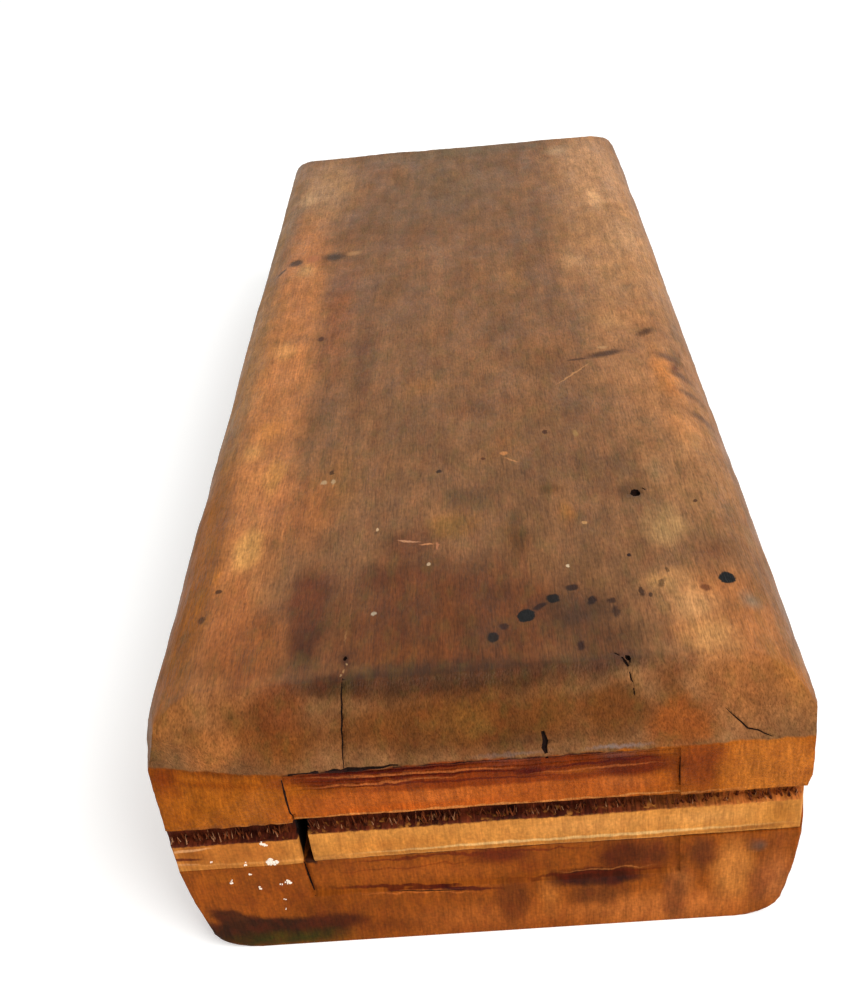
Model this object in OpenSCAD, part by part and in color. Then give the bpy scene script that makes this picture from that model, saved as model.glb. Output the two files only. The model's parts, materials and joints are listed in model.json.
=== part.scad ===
// Sleeve ironing board: a pressing board carried over a base board by a two-piece spacer, all
// nailed together at one end, so that a sleeve slips over the free end into the gap.
// Origin: middle of the footprint, on the surface that it stands on. +Z is up, the joined end
// faces -Y, and +X is to the right as seen from that end. All sizes are in millimetres.

/* [Boards] */
// Width of both boards
board_w = 150; // [110:1:200]
// Length of both boards, along the left side
board_l = 375; // [260:1:600]
// Thickness of the pressing board
top_t = 27; // [22:0.5:40]
// Thickness of the base board
base_t = 29.5; // [24:0.5:45]
// How much shorter the right side is than the left, because the free end is sawn askew
far_skew = 9; // [0:0.5:12]

/* [Worn edges] */
// Width of the bevel along the long sides of the pressing board
side_bevel_w = 13; // [6:0.5:20]
// Width of the bevel across the pressing board's joined end
end_bevel_w = 15; // [6:0.5:24]
// Width of the bevel across the pressing board's free end
far_bevel_w = 10.5; // [6:0.5:24]
// Height of all the bevels of the pressing board
bevel_h = 12; // [5:0.5:16]
// How far the side bevels bulge past a flat cut
side_bow = 2.6; // [0:0.1:3.5]
// How far the bevel across the joined end bulges
end_bow = 1.2; // [0:0.1:3]
// How far the bevel across the free end bulges
far_bow = 2.2; // [0:0.1:3]
// Radius under the long sides of the pressing board
under_r = 2.5; // [1:0.5:5]
// Width of the rounding under the long sides of the base board
foot_round_w = 10; // [3:0.5:16]
// Height of the rounding under the long sides of the base board
foot_round_h = 8; // [3:0.5:20]
// Length over which each corner is eased in, seen from above
ease_l = 24; // [10:1:40]
// Easing of the pressing board's near left corner
top_near_left = 5; // [1:0.5:8]
// Easing of the pressing board's near right corner
top_near_right = 3; // [1:0.5:8]
// Easing of the base board's near corners, at its top
base_near = 4; // [1:0.5:8]
// How much further in the base board's near corners are at the floor
base_lean = 3; // [0:0.5:8]
// How far the leaning faces of the base board's near corners are turned, in degrees
base_turn = 25; // [15:1:40]
// Easing of the spacer's near corners
spacer_near = 4; // [1:0.5:8]
// Easing of the far left corners of both boards
far_left = 2; // [1:0.5:8]
// Easing of the far right corners of both boards
far_right = 1.5; // [1:0.5:8]

/* [Spacer] */
// Thickness of the spacer, which is the height of the sleeve gap
spacer_t = 14; // [8:0.5:40]
// Length of the spacer from the joined end
spacer_l = 95; // [85:1:140]
// Gap between the narrow and the wide piece
slot_w = 2.5; // [1:0.1:5]
// Height of the torn upper edge on the spacer's front
torn_h = 4; // [1:0.5:5]
// Depth of the torn upper edge
torn_d = 3; // [0.5:0.25:4]

/* [Housing] */
// Distance of the housing's left wall from the middle
housing_left = 41.5; // [30:0.5:50]
// Distance of the housing's right wall from the middle
housing_right = 44; // [30:0.5:55]
// Depth of the housing cut into both end faces
housing_d = 0.75; // [0.25:0.25:3]
// Height of the housing in the base board, down from its top
housing_base_h = 12; // [6:0.5:18]
// Thickness of the lip left above the housing in the pressing board
housing_lip = 1; // [0.5:0.25:3]

/* [Nails] */
// Shank diameter of all the nails
nail_d = 2.6; // [2:0.1:4]
// Head diameter of all the nails
nail_head_d = 3.6; // [3:0.1:6]
// Thickness of a nail's head
nail_head_t = 1.2; // [0.8:0.1:2]
// Length of a nail's point
nail_point_l = 4; // [2:0.5:6]
// How far the heads are punched below the surface
nail_set = 1.5; // [0.5:0.25:3]
// Clearance between a nail and its hole, on the radius
nail_fit = 0.05; // [0.02:0.01:0.15]
// Wood left under the points of the nails driven down through the pressing board
top_nail_cover = 9; // [4:1:18]
// Wood left over the points of the nails driven up through the base board
base_nail_cover = 3.5; // [2:0.5:6]
// Left nail in the pressing board: distance right of the slot
left_nail_in = 12; // [8:1:20]
// Left nail in the pressing board: distance behind the end bevel
left_nail_row = 7.5; // [3:0.5:12]
// Right nail in the pressing board: distance in from the right side
right_nail_in = 40; // [34:1:46]
// Right nail in the pressing board: distance behind the end bevel
right_nail_row = 0.5; // [0:0.5:10]
// Far nail in the pressing board: distance in from the right side
far_nail_in = 30; // [24:1:40]
// Far nail in the pressing board: distance from the spacer's far edge
far_nail_row = 18; // [14:1:24]
// Hidden nails in the wide spacer: distance in from the slot and from the right side
base_nail_in = 16; // [12:1:22]
// Hidden nails in the base board: distance of the near row from the joined end
base_nail_near = 45; // [40:1:55]
// Hidden nails in the base board: distance of the far row from the spacer's far edge
base_nail_far = 8; // [5:1:12]

/* [Hidden] */

curve_steps = 8;      // straight pieces in each eased corner and bevel
round_sides = 48;     // sides of nails and their holes
over = 1;             // how far a cutter runs past what it cuts

near_y = -board_l / 2;
spacer_z = base_t;
top_z = base_t + spacer_t;
total_h = top_z + top_t;
slot_left = -housing_left;              // the slot carries on the line of the housing's left wall
slot_right = slot_left + slot_w;
spacer_far_y = near_y + spacer_l;
skew_angle = -atan(far_skew / board_w);

// Where the nails stand: x, and the distance from the joined end
TOP_NAILS = [[slot_right + left_nail_in, end_bevel_w + left_nail_row],
             [board_w / 2 - right_nail_in, end_bevel_w + right_nail_row],
             [board_w / 2 - far_nail_in, spacer_l - far_nail_row]];
BASE_ROWS = [base_nail_near, spacer_l - base_nail_far];
NARROW_NAILS = [for (row = BASE_ROWS) [(slot_left - board_w / 2) / 2, row]];
WIDE_NAILS = [for (x = [slot_right + base_nail_in, board_w / 2 - base_nail_in])
              for (row = BASE_ROWS) [x, row]];
top_nail_l = total_h - nail_set - top_nail_cover;
base_nail_l = top_z - nail_set - base_nail_cover;

// Y of the free end's face at a given x
function far_y(x) = board_l / 2 - far_skew * (x + board_w / 2) / board_w;

// One corner seen from above, as [distance in from the side, distance in from the end]
function eased(inset) =
    [for (i = [0:curve_steps]) let (t = i / curve_steps) [inset * pow(1 - t, 2), ease_l * t]];
function reversed(list) = [for (i = [len(list) - 1:-1:0]) list[i]];

// Outline of a board, with the easing of its near left, near right, far right, far left corners
function outline(near_l, near_r, far_r, far_l) = concat(
    [for (p = eased(near_r)) [board_w / 2 - p.x, near_y + p.y]],
    [for (p = reversed(eased(far_r))) [board_w / 2 - p.x, far_y(board_w / 2 - p.x) - p.y]],
    [for (p = eased(far_l)) [-board_w / 2 + p.x, far_y(-board_w / 2 + p.x) - p.y]],
    [for (p = reversed(eased(near_l))) [-board_w / 2 + p.x, near_y + p.y]]);

// Section of what a bevel takes away: x in from the face, y down from the top
function bevel_section(w, bulge) = concat(
    [for (i = [0:curve_steps])
        let (t = i / curve_steps, bow = bulge * sin(180 * t))
        [w * t - bow * bevel_h / norm([w, bevel_h]), bevel_h * (t - 1) + bow * w / norm([w, bevel_h])]],
    [[w, over], [-2 * over, over], [-2 * over, -bevel_h]]);

// A cutter along +Y for the edge at x = 0, the board lying on its +X side
module edge_cutter(section, length) {
    rotate([90, 0, 0]) translate([0, 0, -length]) linear_extrude(length) polygon(section);
}

// Cutter for the rounding under a long side of the base board
module foot_cutter(length) {
    section = concat(
        [for (i = [0:curve_steps]) let (a = 90 * i / curve_steps)
            [foot_round_w * (1 - cos(a)), foot_round_h * (1 - sin(a))]],
        [[foot_round_w, -over], [-over, -over], [-over, foot_round_h]]);
    edge_cutter(section, length);
}

// Cutter for the near left corner of the base board, which leans in towards the floor, and for the
// rounding under it
module corner_cutter() {
    run = 3 * ease_l;
    translate([-board_w / 2 + base_near, near_y, base_t])
        rotate([0, 0, base_turn]) rotate([0, -atan(base_lean * cos(base_turn) / base_t), 0])
            translate([-run, -run, -2 * base_t]) cube([run, 2 * run, 3 * base_t]);
    translate([-board_w / 2 + base_near + base_lean, near_y, 0])
        rotate([0, 0, base_turn]) translate([0, -ease_l, 0]) foot_cutter(run);
}

// Cutter for the small radius under a long side of the pressing board
module under_cutter(length) {
    difference() {
        translate([-over, 0, -over]) cube([under_r + over, length, under_r + over]);
        translate([under_r, -over, under_r])
            rotate([-90, 0, 0]) cylinder(r = under_r, h = length + 2 * over, $fn = round_sides);
    }
}

// Places a cutter's copy along both long sides
module both_sides() {
    for (side = [0, 1]) mirror([side, 0, 0])
        translate([-board_w / 2, near_y - over, 0]) children();
}

// A nail standing on its point at z = 0, or its hole, which is wider by the fit
module nail(length, fit = 0) {
    r = nail_d / 2 + fit;
    cylinder(r1 = 0.2 + fit, r2 = r, h = nail_point_l, $fn = round_sides);
    translate([0, 0, nail_point_l])
        cylinder(r = r, h = length - nail_point_l - nail_head_t, $fn = round_sides);
    translate([0, 0, length - nail_head_t - fit])
        cylinder(r = nail_head_d / 2 + fit, h = nail_head_t + fit, $fn = round_sides);
}

// A nail's hole, open from its head to the surface
module nail_hole(length) {
    nail(length, nail_fit);
    translate([0, 0, length - over / 2])
        cylinder(r = nail_head_d / 2 + nail_fit, h = nail_set + over, $fn = round_sides);
}

module at_top_nails() {
    for (p = TOP_NAILS) translate([p.x, near_y + p.y, total_h - nail_set - top_nail_l]) children();
}

module at_base_nails(places) {
    for (p = places) translate([p.x, near_y + p.y, nail_set + base_nail_l]) mirror([0, 0, 1]) children();
}

module base_board() {
    color("sienna") difference() {
        linear_extrude(base_t) polygon(outline(base_near, base_near, far_right, far_left));
        both_sides() foot_cutter(board_l + 2 * over);
        for (side = [0, 1]) mirror([side, 0, 0]) corner_cutter();
        translate([-housing_left, near_y - over, base_t - housing_base_h])
            cube([housing_left + housing_right, housing_d + over, housing_base_h + over]);
        at_top_nails() nail_hole(top_nail_l);
        at_base_nails(concat(NARROW_NAILS, WIDE_NAILS)) nail_hole(base_nail_l);
    }
}

// The spacer layer between two x values, with its torn upper edge at the joined end
module spacer_piece(x0, x1) {
    intersection() {
        translate([0, 0, spacer_z]) linear_extrude(spacer_t)
            polygon(outline(spacer_near, spacer_near, far_right, far_left));
        difference() {
            translate([x0, near_y - over, spacer_z]) cube([x1 - x0, spacer_l + over, spacer_t]);
            translate([x0 - over, near_y - 2 * over, top_z - torn_h])
                cube([x1 - x0 + 2 * over, torn_d + 2 * over, torn_h + over]);
        }
    }
}

module spacer_narrow() {
    color("peru") difference() {
        spacer_piece(-board_w / 2 - over, slot_left);
        at_base_nails(NARROW_NAILS) nail_hole(base_nail_l);
    }
}

module spacer_wide() {
    color("peru") difference() {
        spacer_piece(slot_right, board_w / 2 + over);
        at_base_nails(WIDE_NAILS) nail_hole(base_nail_l);
        at_top_nails() nail_hole(top_nail_l);
    }
}

module top_board() {
    color("saddlebrown") difference() {
        translate([0, 0, top_z]) linear_extrude(top_t)
            polygon(outline(top_near_left, top_near_right, far_right, far_left));
        translate([0, 0, total_h]) both_sides()
            edge_cutter(bevel_section(side_bevel_w, side_bow), board_l + 2 * over);
        translate([board_w, near_y, total_h]) rotate([0, 0, 90])
            edge_cutter(bevel_section(end_bevel_w, end_bow), 2 * board_w);
        translate([-board_w / 2, board_l / 2, total_h]) rotate([0, 0, skew_angle - 90])
            translate([0, -board_w / 2, 0])
                edge_cutter(bevel_section(far_bevel_w, far_bow), 2 * board_w);
        translate([0, 0, top_z]) both_sides() under_cutter(board_l + 2 * over);
        translate([-housing_left, near_y - over, top_z - over])
            cube([housing_left + housing_right, housing_d + over,
                  top_t - bevel_h - housing_lip + over]);
        at_top_nails() nail_hole(top_nail_l);
    }
}

module top_nails() { color("dimgray") at_top_nails() nail(top_nail_l); }
module narrow_spacer_nails() { color("dimgray") at_base_nails(NARROW_NAILS) nail(base_nail_l); }
module wide_spacer_nails() { color("dimgray") at_base_nails(WIDE_NAILS) nail(base_nail_l); }

base_board();
spacer_narrow();
spacer_wide();
top_board();
top_nails();
narrow_spacer_nails();
wide_spacer_nails();
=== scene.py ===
"""The looks of an old sleeve ironing board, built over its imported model.

A worn pressing board lies over a base plank, with a two-piece spacer between them at the joined
end. Lengths in the lists below are millimetres: x to the right of the middle, y from the joined
end towards the free end, z up from the floor.
"""

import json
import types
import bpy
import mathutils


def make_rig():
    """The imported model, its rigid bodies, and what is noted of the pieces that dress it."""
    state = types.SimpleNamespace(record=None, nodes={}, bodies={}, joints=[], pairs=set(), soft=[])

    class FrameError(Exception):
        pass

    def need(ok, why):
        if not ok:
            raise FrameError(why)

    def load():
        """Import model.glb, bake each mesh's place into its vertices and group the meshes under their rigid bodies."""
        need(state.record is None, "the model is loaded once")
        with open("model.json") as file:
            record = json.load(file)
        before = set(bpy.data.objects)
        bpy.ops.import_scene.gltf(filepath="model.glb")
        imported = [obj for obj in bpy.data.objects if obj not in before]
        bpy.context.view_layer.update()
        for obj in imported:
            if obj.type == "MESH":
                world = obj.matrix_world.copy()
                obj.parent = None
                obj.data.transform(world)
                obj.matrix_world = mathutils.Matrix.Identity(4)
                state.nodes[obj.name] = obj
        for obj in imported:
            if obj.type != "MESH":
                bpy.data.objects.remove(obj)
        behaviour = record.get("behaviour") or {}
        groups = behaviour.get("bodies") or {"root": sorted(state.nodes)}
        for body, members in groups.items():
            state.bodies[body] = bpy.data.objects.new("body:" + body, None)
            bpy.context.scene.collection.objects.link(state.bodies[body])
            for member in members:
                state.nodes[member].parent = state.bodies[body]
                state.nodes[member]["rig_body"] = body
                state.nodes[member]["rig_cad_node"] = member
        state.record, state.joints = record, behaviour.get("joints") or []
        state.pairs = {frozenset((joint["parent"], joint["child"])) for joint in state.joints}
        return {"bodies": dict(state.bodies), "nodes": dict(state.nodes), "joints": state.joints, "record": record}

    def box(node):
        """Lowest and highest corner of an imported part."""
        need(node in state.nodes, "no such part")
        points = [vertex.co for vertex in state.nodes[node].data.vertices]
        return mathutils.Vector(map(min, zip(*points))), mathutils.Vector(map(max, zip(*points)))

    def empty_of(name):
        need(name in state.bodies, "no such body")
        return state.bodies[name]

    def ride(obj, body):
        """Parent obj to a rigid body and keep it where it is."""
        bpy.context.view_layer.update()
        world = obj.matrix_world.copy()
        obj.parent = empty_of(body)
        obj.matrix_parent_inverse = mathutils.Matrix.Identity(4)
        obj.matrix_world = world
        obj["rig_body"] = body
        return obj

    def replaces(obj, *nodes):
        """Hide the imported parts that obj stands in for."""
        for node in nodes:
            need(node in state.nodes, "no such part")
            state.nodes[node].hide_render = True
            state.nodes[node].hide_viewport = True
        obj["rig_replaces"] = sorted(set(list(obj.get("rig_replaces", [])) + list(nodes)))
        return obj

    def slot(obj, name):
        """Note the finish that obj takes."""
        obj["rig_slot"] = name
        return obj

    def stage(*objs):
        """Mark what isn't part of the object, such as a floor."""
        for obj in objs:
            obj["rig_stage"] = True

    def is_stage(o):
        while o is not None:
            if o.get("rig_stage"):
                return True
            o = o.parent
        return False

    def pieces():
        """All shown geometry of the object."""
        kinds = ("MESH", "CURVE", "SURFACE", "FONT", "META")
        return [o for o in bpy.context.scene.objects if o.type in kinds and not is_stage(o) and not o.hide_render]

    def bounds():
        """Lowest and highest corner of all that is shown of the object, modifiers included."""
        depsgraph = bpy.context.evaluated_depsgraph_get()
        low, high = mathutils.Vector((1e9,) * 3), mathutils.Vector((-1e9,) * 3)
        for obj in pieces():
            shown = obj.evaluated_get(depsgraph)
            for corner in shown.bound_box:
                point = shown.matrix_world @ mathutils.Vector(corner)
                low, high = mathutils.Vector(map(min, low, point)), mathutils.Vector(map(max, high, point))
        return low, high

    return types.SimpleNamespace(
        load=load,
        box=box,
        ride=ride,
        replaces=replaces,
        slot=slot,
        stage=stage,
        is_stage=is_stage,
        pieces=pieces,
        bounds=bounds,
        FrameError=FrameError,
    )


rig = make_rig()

bl_info = {
    "name": "Sleeve ironing board",
    "version": (1, 0, 0),
    "blender": (4, 5, 0),
    "location": "View3D > Sidebar > Sleeve board",
    "description": "Dresses the packed model of a worn wooden sleeve board and sets its stage",
    "category": "Object",
}

import json
import math
import random
from contextlib import contextmanager
from typing import NamedTuple

import bpy
from bpy.props import FloatProperty, FloatVectorProperty, PointerProperty
from mathutils import Matrix, Vector
from mathutils.bvhtree import BVHTree

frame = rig.load()
CAD_BOX = [list(corner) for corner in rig.bounds()]

MM = 0.001
SHARP_ANGLE = math.radians(38)      # edges that turn by more than this are shaded sharp
BODY = "root"
UP = Vector((0, 0, 1))
TO_RIGHT = Vector((1, 0, 0))
TO_FREE_END = Vector((0, 1, 0))


def box_mm(node):
    """The lowest and highest corner of a CAD node in millimetres."""
    return [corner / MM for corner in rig.box(node)]


TOP_LOW, TOP_HIGH = box_mm("top_board")
BASE_LOW, BASE_HIGH = box_mm("base_board")
WIDE_LOW, WIDE_HIGH = box_mm("spacer_wide")
NARROW_LOW, NARROW_HIGH = box_mm("spacer_narrow")
NEAR = TOP_LOW.y
FAR = TOP_HIGH.y
SIDE = TOP_HIGH.x
# The shallow housing across the joined end of both boards
HOUSING_LEFT, HOUSING_RIGHT, HOUSING_DEPTH = -41.5, 44, 0.75

# ---------------- image points, in pixels
IMAGE_W, IMAGE_H = 851, 1000
LONG_SIDE = max(IMAGE_W, IMAGE_H)
OBJECT_EDGES = {"left": 147, "right": 818, "top": 136, "bottom": 949}
IMAGE_POINTS = {
    "left_nail": (345, 658),
    "right_nail": (628, 661),
    "far_nail": (635, 492),
    "left_crack": (342, 735),
    "right_crack": (747, 727),
    "notch": (545, 748),
    "slot": (308, 845),
    "large_drop": (527, 616),
    "right_drop": (727, 577),
    "left_scar": (318, 258),
    "right_scar": (604, 352),
    "large_fleck": (272, 863),
    "upper_fleck": (264, 845),
    "lower_fleck": (288, 882),
}


# ---------------- modelling helpers
def only(*objects):
    """Leaves just these objects selected, the first of them active."""
    bpy.ops.object.select_all(action="DESELECT")
    for each in objects:
        each.select_set(True)
    bpy.context.view_layer.objects.active = objects[0]


@contextmanager
def editing(obj, whole=True):
    """Edit mode on obj alone, with all of it selected or with what was picked before."""
    only(obj)
    bpy.context.tool_settings.mesh_select_mode = (True, False, False)
    bpy.ops.object.mode_set(mode="EDIT")
    if whole:
        bpy.ops.mesh.select_all(action="SELECT")
    yield
    bpy.ops.object.mode_set(mode="OBJECT")


def made(operation, **settings):
    """Runs an operator that adds an object, and gives that object."""
    bpy.ops.object.select_all(action="DESELECT")
    operation(**settings)
    return bpy.context.object


def settle(obj):
    """Applies an object's place, turn and size to its mesh."""
    only(obj)
    bpy.ops.object.transform_apply(location=True, rotation=True, scale=True)
    return obj


def pick(obj, test):
    """Leaves selected only those vertices of obj whose place in millimetres passes test."""
    mesh = obj.data
    for parts in (mesh.vertices, mesh.edges, mesh.polygons):
        parts.foreach_set("select", [False] * len(parts))
    for vertex in mesh.vertices:
        vertex.select = test(vertex.co / MM)


def add_block(name, low, high):
    """A rectangular block between two corners."""
    obj = made(bpy.ops.mesh.primitive_cube_add, size=1, location=(low + high) / 2 * MM,
               scale=(high - low) * MM)
    obj.name = obj.data.name = name
    return settle(obj)


def slice_off(obj, point, normal):
    """Cuts away what lies on the side that normal points to, and closes the cut."""
    with editing(obj):
        bpy.ops.mesh.bisect(plane_co=point * MM, plane_no=normal.normalized(), use_fill=True,
                            clear_outer=True)


def score(obj, axis, places):
    """Cuts every face across one axis at each place, so that the surface can be bent and worn."""
    normal = Vector([float(each == axis) for each in range(3)])
    with editing(obj):
        for place in places:
            bpy.ops.mesh.select_all(action="SELECT")
            bpy.ops.mesh.bisect(plane_co=normal * place * MM, plane_no=normal)


def spaced(start, end, step):
    """Places between start and end, about step apart, without the two ends."""
    count = max(1, round((end - start) / step))
    return [start + (end - start) * i / count for i in range(1, count)]


def apply_modifier(obj, kind, **settings):
    """Gives obj one modifier with those settings and applies it."""
    only(obj)
    modifier = obj.modifiers.new(kind.lower(), kind)
    for name, value in settings.items():
        setattr(modifier, name, value)
    bpy.ops.object.modifier_apply(modifier=modifier.name)


def weigh(obj, name, weight):
    """A vertex group whose weights come from a function of the place in millimetres."""
    group = obj.vertex_groups.new(name=name)
    for vertex in obj.data.vertices:
        group.add([vertex.index], weight(vertex.co / MM), "REPLACE")
    return name


def roughen(obj, size, depth, stretch=(1, 1, 1), group=""):
    """Pushes the surface in and out by up to half of depth, in lumps of about size millimetres."""
    texture = bpy.data.textures.new("lumps", "CLOUDS")
    texture.noise_scale = size * MM
    texture.noise_depth = 2
    ruler = made(bpy.ops.object.empty_add)
    ruler.scale = stretch
    bpy.context.view_layer.update()
    apply_modifier(obj, "DISPLACE", texture=texture, texture_coords="OBJECT",
                   texture_coords_object=ruler, strength=depth * MM, vertex_group=group)
    bpy.data.objects.remove(ruler)
    bpy.data.textures.remove(texture)


def carve(obj, cutter, material=None):
    """Takes cutter out of obj. The cut faces get obj's own material, or the one given."""
    faces = len(obj.data.polygons)
    cutter.data.materials.clear()
    cutter.data.materials.append(material or obj.data.materials[0])
    apply_modifier(obj, "BOOLEAN", operation="DIFFERENCE", object=cutter, solver="EXACT",
                   material_mode="TRANSFER")
    if len(obj.data.polygons) < faces / 2:
        raise RuntimeError(f"a cut destroyed {obj.name}")
    bpy.data.objects.remove(cutter)


def rough_bar(name, low, high, step, lumps, depth, stretch=(1, 1, 1)):
    """A cutter with a rough surface, for torn edges and chiselled hollows."""
    bar = add_block(name, low, high)
    for axis in range(3):
        score(bar, axis, spaced(low[axis], high[axis], step[axis]))
    roughen(bar, lumps, depth, stretch)
    return bar


def join(objects):
    """Makes several objects one."""
    only(*objects)
    bpy.ops.object.join()
    return bpy.context.object


def doubled(obj):
    """A copy of obj."""
    only(obj)
    bpy.ops.object.duplicate()
    return bpy.context.object


def scatter(first, places, name, material):
    """Copies first to each place, turn and size, deletes it, and joins its copies."""
    copies = []
    for place, turn, size in places:
        copy = doubled(first)
        copy.location = place * MM
        copy.rotation_euler = turn
        copy.scale = size
        copies.append(copy)
    bpy.data.objects.remove(first)
    only(*copies)
    bpy.ops.object.transform_apply(location=True, rotation=True, scale=True)
    obj = join(copies)
    obj.name = obj.data.name = name
    obj.data.materials.append(material)
    return obj


def surface_of(obj):
    """A tree that rays can be cast at, of obj as finished and placed."""
    return BVHTree.FromObject(obj, bpy.context.evaluated_depsgraph_get())


def on_face(surface, across, along, upright):
    """The place on a board's surface: across and along its top, or across and up the joined end."""
    clear = 20
    if upright:
        start, towards = Vector((across, NEAR - clear, along)), TO_FREE_END
    else:
        start, towards = Vector((across, NEAR + along, TOP_HIGH.z + clear)), -UP
    place = surface.ray_cast(start * MM, towards)[0]
    if place is None:
        raise ValueError(f"nothing stands at {across}, {along}")
    return place / MM


def crack(surface, width, corners, upright=False):
    """A cutter for a crack: a thin tube that follows the surface from corner to corner, straying
    a little, and that is widest in its middle."""
    step = 1.5
    chance = random.Random(len(corners) * 100 + int(corners[0][0]))
    route = []
    for start, end in zip(corners, corners[1:]):
        count = max(1, round(math.dist(start, end) / step))
        for i in range(count):
            stray = chance.uniform(-width, width) / 3 if route else 0
            route.append((start[0] + (end[0] - start[0]) * i / count + (0 if upright else stray),
                          start[1] + (end[1] - start[1]) * i / count + (stray if upright else 0)))
    route.append(corners[-1])
    obj = made(bpy.ops.curve.primitive_bezier_curve_add)
    curve = obj.data
    curve.splines.clear()
    spline = curve.splines.new("POLY")
    spline.points.add(len(route) - 1)
    for index, (point, (across, along)) in enumerate(zip(spline.points, route)):
        point.co = (*(on_face(surface, across, along, upright) * MM), 1)
        point.radius = 0.25 + 0.75 * math.sin(math.pi * (index + 0.5) / len(route))
    curve.dimensions = "3D"
    curve.bevel_depth = width / 2 * MM
    curve.bevel_resolution = 1
    curve.use_fill_caps = True
    bpy.ops.object.convert(target="MESH")
    with editing(obj):
        bpy.ops.mesh.remove_doubles(threshold=0.001 * MM)
        bpy.ops.mesh.normals_make_consistent(inside=False)
    return obj


def finish_piece(obj, slot, *nodes):
    """Gives a finished piece its shading, its body, its slot and the CAD nodes that it stands for."""
    only(obj)
    bpy.ops.object.shade_smooth_by_angle(angle=SHARP_ANGLE)
    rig.ride(obj, BODY)
    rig.slot(obj, slot)
    if nodes:
        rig.replaces(obj, *nodes)
    return obj


# ---------------- placing by image points
def view_ray(point):
    """Where the camera stands, and the direction that it sees an image point in."""
    camera = bpy.context.scene.camera
    lens = camera.data
    x, y = point
    seen = Vector((x - IMAGE_W / 2 + lens.shift_x * LONG_SIDE,
                   IMAGE_H / 2 - y + lens.shift_y * LONG_SIDE,
                   -LONG_SIDE * lens.lens / lens.sensor_width))
    return camera.matrix_world.translation, (camera.matrix_world.to_3x3() @ seen).normalized()


def find_place(name, *carriers):
    """Where the carriers show at a named image point, in millimetres. A miss takes the place
    nearest the ray."""
    eye, towards = view_ray(IMAGE_POINTS[name])
    hits = [surface_of(each).ray_cast(eye, towards) for each in carriers]
    hits = [hit for hit in hits if hit[0] is not None]
    if hits:
        return min(hits, key=lambda hit: hit[3])[0] / MM
    vertices = [vertex.co for each in carriers for vertex in each.data.vertices]
    return min(vertices, key=lambda co: towards.cross(co - eye).length) / MM


def image_place(place):
    """The image point where a place shows."""
    camera = bpy.context.scene.camera
    lens = camera.data
    seen = camera.matrix_world.inverted() @ place
    scale = LONG_SIDE * lens.lens / lens.sensor_width / -seen.z
    return (IMAGE_W / 2 - lens.shift_x * LONG_SIDE + seen.x * scale,
            IMAGE_H / 2 + lens.shift_y * LONG_SIDE - seen.y * scale)


# ---------------- material helpers
def linear(code):
    """An sRGB hex colour as the linear colour that the shader takes."""
    channels = [int(code[i:i + 2], 16) / 255 for i in (1, 3, 5)]
    return [c / 12.92 if c <= 0.04045 else ((c + 0.055) / 1.055) ** 2.4 for c in channels] + [1]


def feed(tree, node, inputs):
    """Sets a node's input sockets to values or to other nodes' outputs."""
    for key, value in inputs.items():
        if isinstance(value, bpy.types.NodeSocket):
            tree.links.new(value, node.inputs[key])
        else:
            node.inputs[key].default_value = value
    return node


def add(tree, kind, inputs=None, **settings):
    """Adds a shader node with its settings; inputs maps sockets to values or to other outputs."""
    node = tree.nodes.new("ShaderNode" + kind)
    for name, value in settings.items():
        setattr(node, name, value)
    return feed(tree, node, inputs or {})


def start_material(name):
    """A new material, its node tree, its shader and the surface's place in millimetres."""
    material = bpy.data.materials.new(name)
    material.use_nodes = True
    tree = material.node_tree
    place = add(tree, "TexCoord").outputs["Object"]
    place = add(tree, "VectorMath", {0: place, "Scale": 1 / MM}, operation="SCALE").outputs[0]
    return material, tree, tree.nodes["Principled BSDF"], place


def cloudy(tree, place, size, detail=2, low=0.0, high=1.0):
    """A value that varies in clouds of about size millimetres, spread between low and high."""
    shrunk = add(tree, "VectorMath", {0: place, 1: [1 / each for each in size]}, operation="MULTIPLY")
    noise = add(tree, "TexNoise", {"Vector": shrunk.outputs[0], "Scale": 1, "Detail": detail})
    spread = {"Value": noise.outputs["Fac"], "From Min": 0.3, "From Max": 0.7,
              "To Min": low, "To Max": high}
    return add(tree, "MapRange", spread).outputs[0]


def mixed(tree, share, under, over):
    """One colour over another, by a share."""
    factor, first, second, result = 0, 6, 7, 2      # sockets of a colour Mix node
    return add(tree, "Mix", {factor: share, first: under, second: over},
               data_type="RGBA").outputs[result]


def clouded(tree, colour, place, size, contrast, detail=2):
    """Darkens and lightens a colour by up to contrast, in clouds of about size millimetres."""
    level = cloudy(tree, place, size, detail, 1 - contrast, 1 + contrast)
    return add(tree, "VectorMath", {0: colour, "Scale": level}, operation="SCALE").outputs[0]


def overlaid(tree, colour, code, amount, strength=1.0):
    """Lays another colour over a colour, as far as amount times strength goes."""
    share = add(tree, "Math", {0: amount, 1: strength}, operation="MULTIPLY", use_clamp=True)
    return mixed(tree, share.outputs[0], colour, linear(code))


def zone(tree, place, *sides):
    """1 inside a region and 0 outside it. Each side is (axis, where the region is over, where it
    is whole)."""
    inside = 1.0
    axes = add(tree, "SeparateXYZ", {0: place}).outputs
    for axis, over, whole in sides:
        reach = add(tree, "MapRange", {"Value": axes[axis], "From Min": over, "From Max": whole},
                    interpolation_type="SMOOTHSTEP").outputs[0]
        inside = add(tree, "Math", {0: inside, 1: reach}, operation="MULTIPLY").outputs[0]
    return inside


def strayed(tree, place, size, reach):
    """The place moved about by a few millimetres, so that stains get uneven edges."""
    shrunk = add(tree, "VectorMath", {0: place, "Scale": 1 / size}, operation="SCALE").outputs[0]
    noise = add(tree, "TexNoise", {"Vector": shrunk, "Scale": 1, "Detail": 3})
    centred = add(tree, "VectorMath", {0: noise.outputs["Color"], 1: (0.5, 0.5, 0.5)},
                  operation="SUBTRACT").outputs[0]
    return add(tree, "VectorMath", {0: centred, 1: (2 * reach, 2 * reach, 2 * reach), 2: place},
               operation="MULTIPLY_ADD").outputs[0]


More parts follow.
